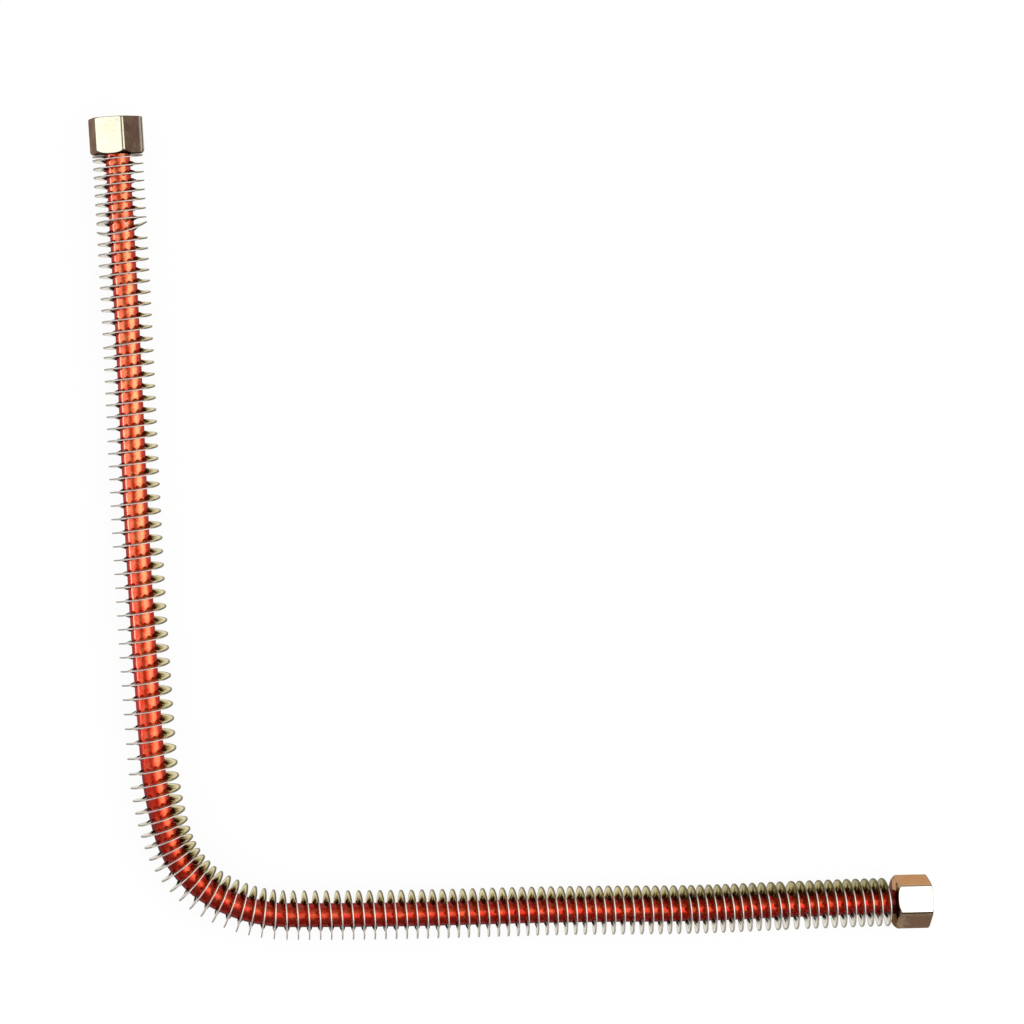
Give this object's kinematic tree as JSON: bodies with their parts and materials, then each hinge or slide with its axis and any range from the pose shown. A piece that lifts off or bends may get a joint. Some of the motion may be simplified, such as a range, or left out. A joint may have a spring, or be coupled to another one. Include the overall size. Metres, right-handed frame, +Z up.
{
  "type": "finned compressor discharge tube",
  "caption": "L-shaped rigid copper discharge tube under red lacquer, with a metal strip wound round it on edge as a cooling fin and a loose union nut on each end.",
  "frame": {"origin": "bottom centre of the bounding box, with the part lying on its side", "axes": "+X along the run towards its open end, +Y along the riser towards its open end, +Z up out of the plane of the bend"},
  "size_m": [0.4214, 0.4096, 0.0265],
  "materials": {
    "tube": "glossy translucent red-orange lacquer over copper",
    "fin_strip": "thin strip with yellow zinc plating, grey in places",
    "nut": "glossy yellow zinc plating",
    "sleeve": "plain turned brass"
  },
  "bodies": {
    "finned_tube": {"tube": "tube", "fin_strip": "fin_strip", "riser_sleeve": "sleeve", "run_sleeve": "sleeve"},
    "riser_nut": {"riser_nut": "nut"},
    "run_nut": {"run_nut": "nut"}
  },
  "joints": [
    {"name": "riser_nut_turn", "type": "hinge", "parent": "finned_tube", "child": "riser_nut", "pos_m": [-0.19756, 0.20406, 0.01326], "axis": [-0.0558, 0.9984, 0], "continuous": true},
    {"name": "run_nut_turn", "type": "hinge", "parent": "finned_tube", "child": "run_nut", "pos_m": [0.21071, -0.19105, 0.01326], "axis": [1, 0, 0], "continuous": true}
  ]
}
